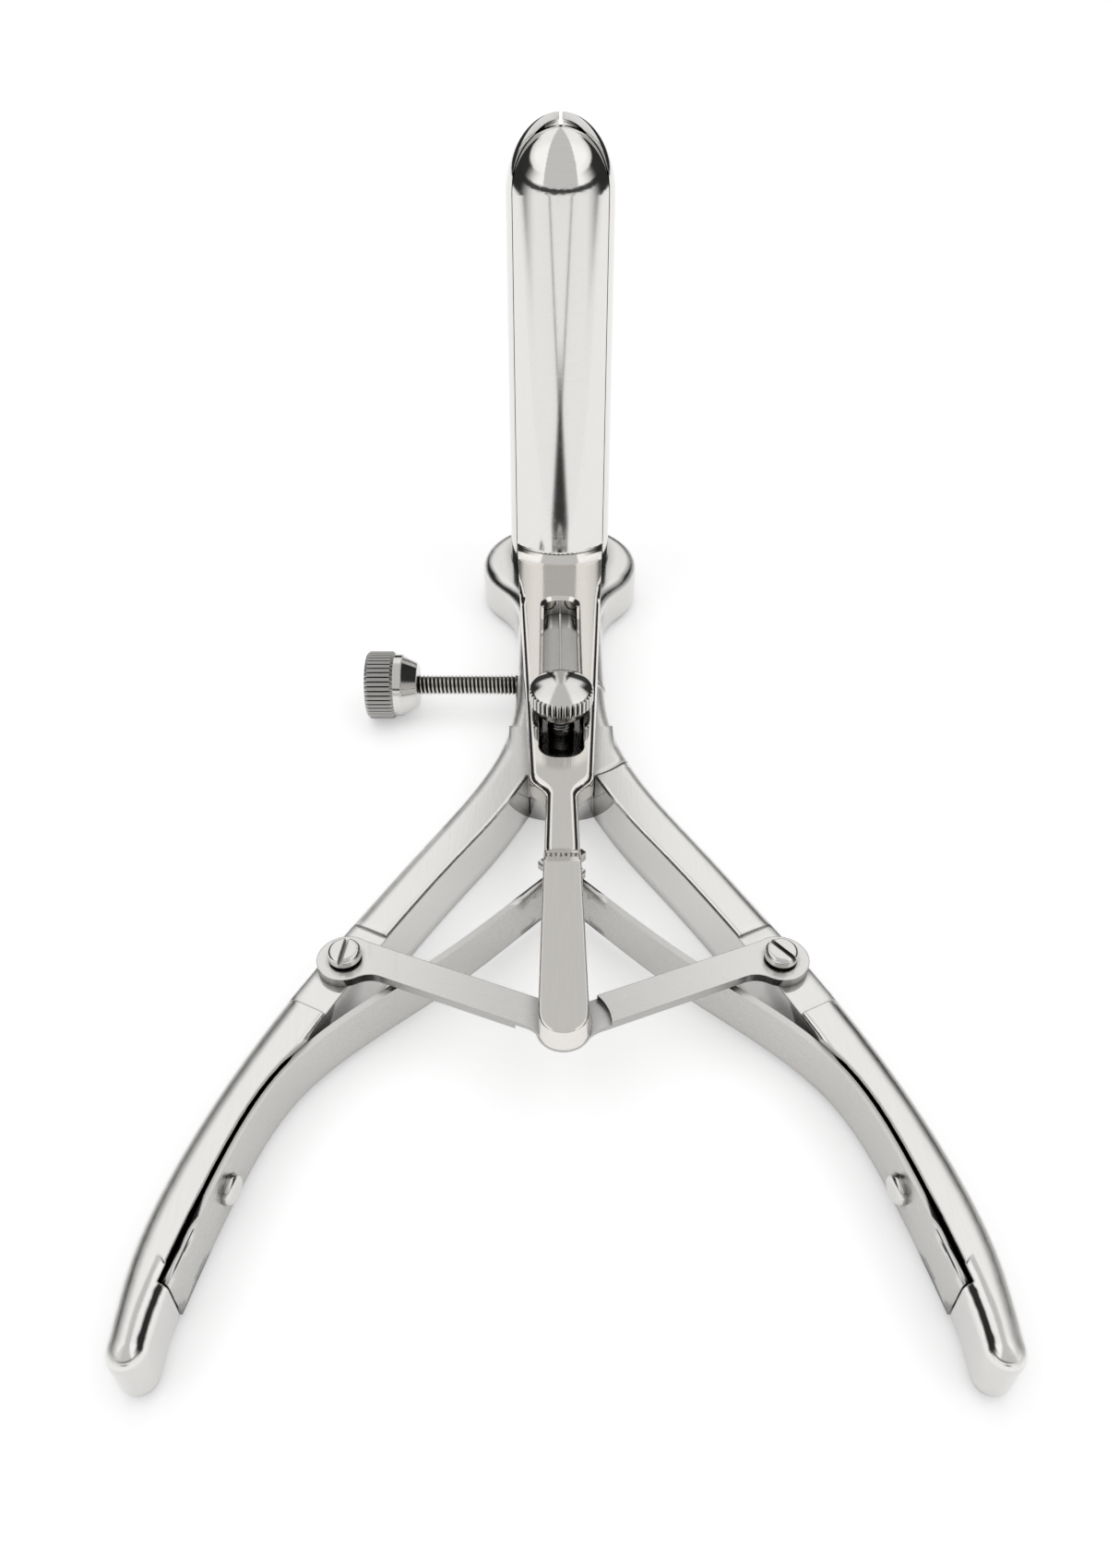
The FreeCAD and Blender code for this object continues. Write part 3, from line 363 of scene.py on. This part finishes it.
def make_floor():
    """A white sheet that is a little bright to the camera and to metal, and keeps its shadows."""
    corners = [(-FLOOR_SIZE, FLOOR_FRONT, 0), (FLOOR_SIZE, FLOOR_FRONT, 0),
               (FLOOR_SIZE, FLOOR_SIZE, 0), (-FLOOR_SIZE, FLOOR_SIZE, 0)]
    mesh = bpy.data.meshes.new("floor")
    mesh.from_pydata(corners, [], [(0, 1, 2, 3)])
    floor = bpy.data.objects.new("floor", mesh)
    floor.location.z = -FLOOR_DROP
    bpy.context.scene.collection.objects.link(floor)
    material = bpy.data.materials.new("floor_white")
    material.use_nodes = True
    tree = material.node_tree
    tree.nodes.clear()
    diffuse = tree.nodes.new("ShaderNodeBsdfDiffuse")
    diffuse.inputs[0].default_value = (FLOOR_WHITE, FLOOR_WHITE, FLOOR_WHITE, 1)
    glow = tree.nodes.new("ShaderNodeEmission")
    path = tree.nodes.new("ShaderNodeLightPath")
    seen = math_node(tree, "MAXIMUM", path.outputs["Is Camera Ray"], path.outputs["Is Glossy Ray"])
    seen = math_node(tree, "MAXIMUM", seen, path.outputs["Is Transmission Ray"])
    tree.links.new(math_node(tree, "MULTIPLY", seen, FLOOR_GLOW), glow.inputs[1])
    add = tree.nodes.new("ShaderNodeAddShader")
    link(tree, diffuse, 0, add, 0)
    link(tree, glow, 0, add, 1)
    output = tree.nodes.new("ShaderNodeOutputMaterial")
    link(tree, add, 0, output, 0)
    mesh.materials.append(material)


def wandering_roughness(tree, level_rough, rounded, spread, upward, lines):
    """Roughness that differs on level and rounded faces, with clouds, polishing lines and scratches."""
    cloud = noise(tree, object_place(tree), CLOUD_SCALE, CLOUD_DETAIL)
    hair_place = object_place(tree, SCRATCH_SCALE, SCRATCH_TURN)
    hair = noise(tree, hair_place, 1.0, SCRATCH_DETAIL, SCRATCH_DISTORTION)
    value = mix_values(tree, soft_step(tree, upward, *LEVEL_STEP), rounded, level_rough)
    for pattern in (cloud, lines):
        value = math_node(tree, "MULTIPLY_ADD", math_node(tree, "SUBTRACT", pattern, 0.5), spread, value)
    return math_node(tree, "MULTIPLY_ADD", ramp(tree, hair, SCRATCH_STOPS), SCRATCH_ROUGHNESS, value)


def shading(tree, upward, side, grooved):
    """Painted shade on the steel's colour: darker on upright faces, in hollows and in grooves."""
    # Painted shade: the colour is darkened where ambient occlusion finds the steel closed in
    occlusion = tree.nodes.new("ShaderNodeAmbientOcclusion")
    occlusion.samples = RAY_SAMPLES
    occlusion.inputs["Distance"].default_value = HOLLOW_SHADE_REACH * MM
    open_sky = soft_step(tree, occlusion.outputs["AO"], HOLLOW_SHADE_DARK, HOLLOW_SHADE_CLEAR)
    # Painted shade on upright faces: side is how bright they are left
    upright_shade = soft_step(tree, upward, *UPRIGHT_SHADE_STEP)
    shade = math_node(tree, "MULTIPLY", mix_values(tree, upright_shade, 1.0, side),
                      mix_values(tree, open_sky, HOLLOW_SHADE_TONE, 1.0))
    # Painted shade in grooves, darker the deeper they are
    if grooved:
        depth = tree.nodes.new("ShaderNodeAttribute")
        depth.attribute_name = "groove_depth"
        shade = math_node(tree, "MULTIPLY", shade, soft_step(tree, depth.outputs["Fac"], *GROOVE_SHADE_STEP))
    return shade


def shaded_colour(tree, colour, lines, shade):
    mix = tree.nodes.new("ShaderNodeMix")
    mix.data_type = "RGBA"
    mix.inputs[6].default_value = [value * LINE_TONE for value in colour] + [1]
    mix.inputs[7].default_value = list(colour) + [1]
    tree.links.new(lines, mix.inputs[0])
    shade_scale = tree.nodes.new("ShaderNodeVectorMath")
    shade_scale.operation = "SCALE"
    tree.links.new(mix.outputs[2], shade_scale.inputs[0])
    tree.links.new(shade, shade_scale.inputs["Scale"])
    return shade_scale.outputs[0]


def steel(name, colour, rough, spread, grain, relief, stretch, edge=0.0, rounded=None, side=1.0,
          grooved=False):
    """Stainless steel with fine polishing lines, cloudy polish and a few hair scratches.

    grain is the number of lines to a millimetre, relief how strongly they show in the surface,
    stretch the coordinate scales of the lines, spread how much the roughness wanders,
    edge the radius in millimetres that sharp edges are broken with,
    rounded the roughness away from level faces, and side how bright the painted shade leaves upright faces.
    A grooved piece carries how deep each spot lies, and has painted shade there, darker the deeper.
    """
    material = bpy.data.materials.new(name)
    material.use_nodes = True
    tree = material.node_tree
    shader = tree.nodes["Principled BSDF"]
    shader.inputs["Metallic"].default_value = 1.0
    lines = noise(tree, object_place(tree, [value * grain / MM for value in stretch]), 1.0, LINE_DETAIL)
    geometry = tree.nodes.new("ShaderNodeNewGeometry")
    normal = tree.nodes.new("ShaderNodeSeparateXYZ")
    link(tree, geometry, "Normal", normal, 0)
    upward = math_node(tree, "ABSOLUTE", normal.outputs[2])
    away = rough if rounded is None else rounded
    roughness = wandering_roughness(tree, rough, away, spread, upward, lines)
    tree.links.new(roughness, shader.inputs["Roughness"])
    shade = shading(tree, upward, side, grooved)
    tree.links.new(shaded_colour(tree, colour, lines, shade), shader.inputs["Base Color"])
    bump = tree.nodes.new("ShaderNodeBump")
    bump.inputs["Strength"].default_value = relief
    bump.inputs["Distance"].default_value = LINE_HEIGHT * MM
    tree.links.new(lines, bump.inputs["Height"])
    if edge:
        link(tree, edge_normal(tree, edge), 0, bump, "Normal")
    link(tree, bump, 0, shader, "Normal")
    return material


def edge_normal(tree, radius):
    """The normal as if edges were broken with a radius."""
    node = tree.nodes.new("ShaderNodeBevel")
    node.samples = RAY_SAMPLES
    node.inputs["Radius"].default_value = radius * MM
    return node


def cambered_lever():
    """Lever steel whose faces fall away in a wide curve towards the outer side only."""
    # side=0.88 darkens the levers' upright faces as painted shade
    material = steel("lever_polish", (0.80, 0.79, 0.77), rough=0.12, spread=0.05, grain=4.0,
                     relief=0.15, stretch=(1.0, 0.05, 0.6), rounded=0.03, side=0.88)
    tree = material.node_tree
    crisp = edge_normal(tree, LEVER_EDGE)
    wide = edge_normal(tree, CAMBER_REACH)
    lean = tree.nodes.new("ShaderNodeSeparateXYZ")
    link(tree, wide, 0, lean, 0)
    place = tree.nodes.new("ShaderNodeTexCoord")
    spot = tree.nodes.new("ShaderNodeSeparateXYZ")
    link(tree, place, "Object", spot, 0)
    outward = math_node(tree, "MULTIPLY", lean.outputs[0], math_node(tree, "SIGN", spot.outputs[0]))
    blend = tree.nodes.new("ShaderNodeMix")
    blend.data_type = "VECTOR"
    tree.links.new(soft_step(tree, outward, *CAMBER_STEP), blend.inputs[0])
    link(tree, crisp, 0, blend, 4)
    link(tree, wide, 0, blend, 5)
    bump = next(node for node in tree.nodes if node.type == "BUMP")
    tree.links.new(blend.outputs[1], bump.inputs["Normal"])
    return material


def satin_blade():
    """Blade steel: brushed round the tube, and bright polished where the tip is domed."""
    tilt = math.radians(TUBE_TILT)
    axis = (0, math.sin(tilt), math.cos(tilt))
    material = steel("blade_satin", (0.80, 0.79, 0.77), rough=0.10, spread=0.04, grain=5.0,
                     relief=0.10, stretch=(0.06, 0.4, 1.0))
    tree = material.node_tree
    shader = tree.nodes["Principled BSDF"]
    geometry = tree.nodes.new("ShaderNodeNewGeometry")
    cross = tree.nodes.new("ShaderNodeVectorMath")
    cross.operation = "CROSS_PRODUCT"
    link(tree, geometry, "Normal", cross, 0)
    cross.inputs[1].default_value = axis
    link(tree, cross, 0, shader, "Tangent")
    place = tree.nodes.new("ShaderNodeTexCoord")
    along = tree.nodes.new("ShaderNodeVectorMath")
    along.operation = "DOT_PRODUCT"
    link(tree, place, "Object", along, 0)
    along.inputs[1].default_value = axis
    polish = soft_step(tree, along.outputs["Value"], POLISH_START * MM, POLISH_END * MM)
    satin = shader.inputs["Roughness"].links[0].from_socket
    tree.links.new(mix_values(tree, polish, satin, POLISH_ROUGHNESS), shader.inputs["Roughness"])
    tree.links.new(mix_values(tree, polish, SATIN_STRETCH, 0.0), shader.inputs["Anisotropic"])
    return material


def make_materials():
    turned_stretch = (1.0, 0.5, 0.5)
    return {
        "lever": cambered_lever(),
        "blade": satin_blade(),
        "plate": steel("plate_polish", (0.81, 0.785, 0.75), rough=0.05, spread=0.04, grain=4.0,
                       relief=0.10, stretch=(1.0, 0.06, 1.0), edge=0.25),
        # side darkens the upright faces of links and springs as painted shade
        "link": steel("link_ground", (0.78, 0.77, 0.75), rough=0.24, spread=0.08, grain=5.0,
                      relief=0.35, stretch=(0.2, 1.0, 1.0), edge=0.2, side=0.6),
        "spring": steel("spring_ground", (0.70, 0.69, 0.67), rough=0.26, spread=0.10, grain=5.0,
                        relief=0.4, stretch=(0.1, 0.1, 1.0), side=0.85),
        "turned": steel("turned_polish", (0.74, 0.73, 0.71), rough=0.10, spread=0.06, grain=6.0,
                        relief=0.2, stretch=(0.4, 0.4, 1.0), edge=0.2),
        # grooved pieces get painted shade in their grooves
        "knurl": steel("knurl_steel", (0.70, 0.69, 0.67), rough=0.20, spread=0.10, grain=6.0,
                       relief=0.2, stretch=turned_stretch, grooved=True),
        "head": steel("head_knurl_steel", (0.46, 0.45, 0.435), rough=0.30, spread=0.10, grain=6.0,
                      relief=0.2, stretch=turned_stretch, grooved=True),
        "thread": steel("thread_steel", (0.80, 0.785, 0.75), rough=0.18, spread=0.10, grain=6.0,
                        relief=0.2, stretch=turned_stretch, grooved=True),
    }


def dress(node, material):
    """Gives a carried-over solid its finish."""
    mesh = NODES[node].data
    mesh.materials.clear()
    mesh.materials.append(material)


def finish_blade_root(materials):
    """The foot of the front blade, above the fillet, is satin like the rest of the blade."""
    mesh = NODES["slide_plate"].data
    mesh.materials.append(materials["blade"])
    for face in mesh.polygons:
        if min(mesh.vertices[i].co.z for i in face.vertices) > (PLATE_TOP + ROOT_FILLET_TOP) * MM:
            face.material_index = 1


def new_piece(name, mesh, body, material):
    piece = bpy.data.objects.new(name, mesh)
    bpy.context.scene.collection.objects.link(piece)
    mesh.materials.append(material)
    if body:
        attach(piece, body)
    return piece


def lathe(name, rows, segments, place, radius_at):
    """A closed turned mesh: rows of (along, radius, kind), capped on its axis at both ends.

    radius_at(row, angle) gives the radius, and place maps (along, radius, angle) to a point.
    """
    bm = bmesh.new()
    groove = bm.verts.layers.float.new("groove_depth")
    rings = []
    for row in rows:
        ring = []
        for i in range(segments):
            angle = 2 * math.pi * i / segments
            radius = radius_at(row, angle)
            spot = bm.verts.new(place(row[0], radius, angle))
            spot[groove] = (row[1] - radius) / GROOVE_FULL
            ring.append(spot)
        rings.append(ring)
    for lower, upper in zip(rings, rings[1:]):
        for i in range(segments):
            j = (i + 1) % segments
            bm.faces.new((lower[i], lower[j], upper[j], upper[i]))
    for ring, row in ((rings[0], rows[0]), (rings[-1], rows[-1])):
        hub = bm.verts.new(place(row[0], 0.0, 0.0))
        for i in range(segments):
            bm.faces.new((ring[i], ring[(i + 1) % segments], hub))
    bmesh.ops.recalc_face_normals(bm, faces=bm.faces)
    mesh = bpy.data.meshes.new(name)
    bm.to_mesh(mesh)
    bm.free()
    return mesh


def smooth(piece, angle):
    """Shades smooth except over edges sharper than an angle in degrees."""
    bpy.context.view_layer.objects.active = piece
    piece.select_set(True)
    bpy.ops.object.shade_smooth_by_angle(angle=math.radians(angle))
    piece.select_set(False)


def upright(along, radius, angle):
    return (radius * math.cos(angle) * MM, radius * math.sin(angle) * MM, along * MM)


def sideways(along, radius, angle):
    beyond = SET_SCREW_Y + radius * math.cos(angle)
    height = SET_SCREW_Z + radius * math.sin(angle)
    return (along * MM, beyond * MM, height * MM)


def thread_radius(pitch, depth):
    """Radius rule of a 60 degree thread; rows marked plain stay round."""
    def rule(row, angle):
        along, radius, kind = row
        if kind != "thread":
            return radius
        phase = (along / pitch - angle / (2 * math.pi)) % 1.0
        flank = abs(2 * phase - 1)
        return radius - depth * min(max(THREAD_FLANK * flank - THREAD_CREST, 0), 1)
    return rule


def flute_radius(flutes, depth):
    """Radius rule of straight knurling; rows marked plain stay round."""
    def rule(row, angle):
        along, radius, kind = row
        if kind != "flute":
            return radius
        wave = abs(math.sin(flutes * angle / 2))
        return radius - depth * (1 - wave) ** FLUTE_SHARPNESS
    return rule


def threaded_rows(start, end, radius, pitch):
    count = int(round(abs(end - start) / pitch * THREAD_STEPS))
    return [(start + (end - start) * i / count, radius, "thread") for i in range(count + 1)]


def make_stud(materials):
    """Flush head, plain journal and the threaded end that carries the knob."""
    rows = [(0.0, STUD_HEAD_RADIUS - STUD_HEAD_CHAMFER, "plain"),
            (STUD_HEAD_CHAMFER, STUD_HEAD_RADIUS, "plain"),
            (STUD_HEAD_HEIGHT, STUD_RADIUS, "plain"),
            (LEVER_DEPTH, STUD_RADIUS, "plain"),
            (LEVER_DEPTH + STUD_THREAD_CLEAR, STUD_RADIUS, "plain")]
    rows += threaded_rows(LEVER_DEPTH + STUD_THREAD_START, STUD_TOP - STUD_BEVEL, STUD_RADIUS, STUD_PITCH)
    rows.append((STUD_TOP, STUD_RADIUS - STUD_BEVEL, "plain"))
    mesh = lathe("stud", rows, STUD_SEGMENTS, upright, thread_radius(STUD_PITCH, STUD_THREAD_DEPTH))
    piece = new_piece("threaded_pivot_stud", mesh, "center", materials["thread"])
    smooth(piece, THREAD_SMOOTHING)
    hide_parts("pivot_stud")


def make_set_rod(materials):
    start = SET_ROD_START + ROD_TIP_LENGTH
    end = SET_ROD_END - ROD_END_LENGTH
    rows = [(SET_ROD_START, SET_ROD_RADIUS - ROD_TIP_BEVEL, "plain")]
    rows += threaded_rows(start, end, SET_ROD_RADIUS, SET_ROD_PITCH)
    rows.append((SET_ROD_END, SET_ROD_RADIUS - ROD_END_BEVEL, "plain"))
    mesh = lathe("set_rod", rows, ROD_SEGMENTS, sideways, thread_radius(SET_ROD_PITCH, ROD_THREAD_DEPTH))
    piece = new_piece("threaded_set_rod", mesh, "set_screw", materials["thread"])
    smooth(piece, THREAD_SMOOTHING)
    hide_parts("set_screw_rod")


def knob_rows():
    """Collar, fluted rim and shallow dome, from the plate upwards."""
    foot = PLATE_TOP
    rim = foot + KNOB_COLLAR_HEIGHT
    top = rim + KNOB_RIM_HEIGHT
    flat = KNOB_RADIUS - KNOB_BEVEL
    fluted = KNOB_RIM_HEIGHT - 2 * KNOB_BEVEL
    rows = [(foot, KNOB_COLLAR_RADIUS - KNOB_FOOT_BREAK, "plain"),
            (foot + KNOB_FOOT_BREAK, KNOB_COLLAR_RADIUS, "plain"),
            (rim - KNOB_EDGE_BREAK, KNOB_COLLAR_RADIUS, "plain"),
            (rim, KNOB_COLLAR_RADIUS + KNOB_EDGE_BREAK, "plain"),
            (rim, flat, "plain")]
    for i in range(KNOB_RIM_STEPS + 1):
        rows.append((rim + KNOB_BEVEL + fluted * i / KNOB_RIM_STEPS, KNOB_RADIUS, "flute"))
    rows.append((top - KNOB_EDGE_BREAK, flat + KNOB_EDGE_BREAK, "plain"))
    sphere = (flat ** 2 + KNOB_DOME ** 2) / (2 * KNOB_DOME)
    centre = top + KNOB_DOME - sphere
    for i in range(KNOB_DOME_STEPS):
        radius = flat * (1 - i / KNOB_DOME_STEPS)
        rows.append((centre + math.sqrt(sphere ** 2 - radius ** 2), radius, "plain"))
    rows.append((top + KNOB_DOME, HUB_RADIUS, "plain"))
    return rows


def make_knob(materials):
    flutes = flute_radius(KNOB_FLUTES, KNOB_FLUTE_DEPTH)
    mesh = lathe("knob", knob_rows(), KNOB_FLUTES * FLUTE_SEGMENTS, upright, flutes)
    piece = new_piece("knurled_clamp_knob", mesh, "knob", materials["turned"])
    mesh.materials.append(materials["knurl"])
    rim = PLATE_TOP + KNOB_COLLAR_HEIGHT
    top = rim + KNOB_RIM_HEIGHT
    for face in mesh.polygons:
        height = face.center.z / MM
        away = math.hypot(face.center.x, face.center.y) / MM
        on_rim = rim + KNURL_MARGIN < height < top - KNURL_MARGIN
        if on_rim and away > KNOB_RADIUS - KNURL_REACH:
            face.material_index = 1
    smooth(piece, KNURL_SMOOTHING)
    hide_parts("clamp_knob")


def set_head_rows(flange, knurl, end):
    """Cone, flange and fluted head, from the rod outwards."""
    flat = SET_HEAD_RADIUS - SET_HEAD_BEVEL
    fluted = SET_HEAD_LENGTH - 2 * SET_HEAD_BEVEL
    rows = [(SET_HEAD_START, SET_CONE_SMALL - SET_CONE_BEVEL, "plain"),
            (SET_HEAD_START - SET_CONE_BREAK, SET_CONE_SMALL, "plain"),
            (flange + SET_CONE_BREAK, SET_CONE_LARGE - SET_CONE_STEP, "plain"),
            (flange + SET_CONE_STEP_LENGTH, SET_CONE_LARGE, "plain"),
            (flange, SET_FLANGE_RADIUS, "plain"),
            (knurl + SET_CONE_BREAK, SET_FLANGE_RADIUS, "plain"),
            (knurl, flat, "plain")]
    for i in range(SET_HEAD_STEPS + 1):
        rows.append((knurl - SET_HEAD_BEVEL - fluted * i / SET_HEAD_STEPS, SET_HEAD_RADIUS, "flute"))
    rows.append((end, flat, "plain"))
    for share in SET_HEAD_END_SHARES:
        rows.append((end, flat * share, "plain"))
    return rows


def make_set_head(materials):
    flange = SET_HEAD_START - SET_CONE_LENGTH
    knurl = flange - SET_FLANGE_LENGTH
    end = knurl - SET_HEAD_LENGTH
    flutes = flute_radius(SET_HEAD_FLUTES, SET_HEAD_FLUTE_DEPTH)
    rows = set_head_rows(flange, knurl, end)
    mesh = lathe("set_head", rows, SET_HEAD_FLUTES * FLUTE_SEGMENTS, sideways, flutes)
    piece = new_piece("knurled_set_head", mesh, "set_screw", materials["turned"])
    mesh.materials.append(materials["head"])
    for face in mesh.polygons:
        if end + KNURL_MARGIN < face.center.x / MM < knurl - KNURL_MARGIN:
            face.material_index = 1
    smooth(piece, KNURL_SMOOTHING)
    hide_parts("set_screw_head")


def thin_seat_side(bm, side):
    """Draws the face that lies against the handle away from it, for the dark gap seen there."""
    bm.normal_update()
    moves = {}
    for face in bm.faces:
        facing = face.normal.x * side > FACING and abs(face.normal.z) < FACING
        if facing and face.calc_center_median().y < SPRING_SEAT_TOP_Y * MM:
            for spot in face.verts:
                moves[spot] = face.normal.copy()
    for spot, way in moves.items():
        spot.co -= way * SPRING_THINNING * MM


def make_spring(side, materials):
    """The leaf spring as a piece of its own, finely divided, with its seat side drawn in."""
    node = "right_spring" if side > 0 else "left_spring"
    mesh = NODES[node].data.copy()
    mesh.name = "bending_" + node
    mesh.materials.clear()
    bm = bmesh.new()
    bm.from_mesh(mesh)
    bmesh.ops.remove_doubles(bm, verts=bm.verts, dist=SPRING_WELD * MM)
    for _ in range(SPRING_SPLITS):
        long_edges = [edge for edge in bm.edges if edge.calc_length() > SPRING_EDGE * MM]
        bmesh.ops.subdivide_edges(bm, edges=long_edges, cuts=1)
        bmesh.ops.triangulate(bm, faces=bm.faces)
    thin_seat_side(bm, side)
    bm.to_mesh(mesh)
    bm.free()
    piece = new_piece("bending_" + node, mesh, None, materials["spring"])
    smooth(piece, SPRING_SMOOTHING)
    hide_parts(node)
    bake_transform(piece)


make_camera()
make_world()
make_floor()
MATERIALS = make_materials()
for finish, node_names in FINISHES.items():
    for node_name in node_names:
        dress(node_name, MATERIALS[finish])
finish_blade_root(MATERIALS)
make_stud(MATERIALS)
make_set_rod(MATERIALS)
make_knob(MATERIALS)
make_set_head(MATERIALS)
make_spring(-1, MATERIALS)
make_spring(1, MATERIALS)
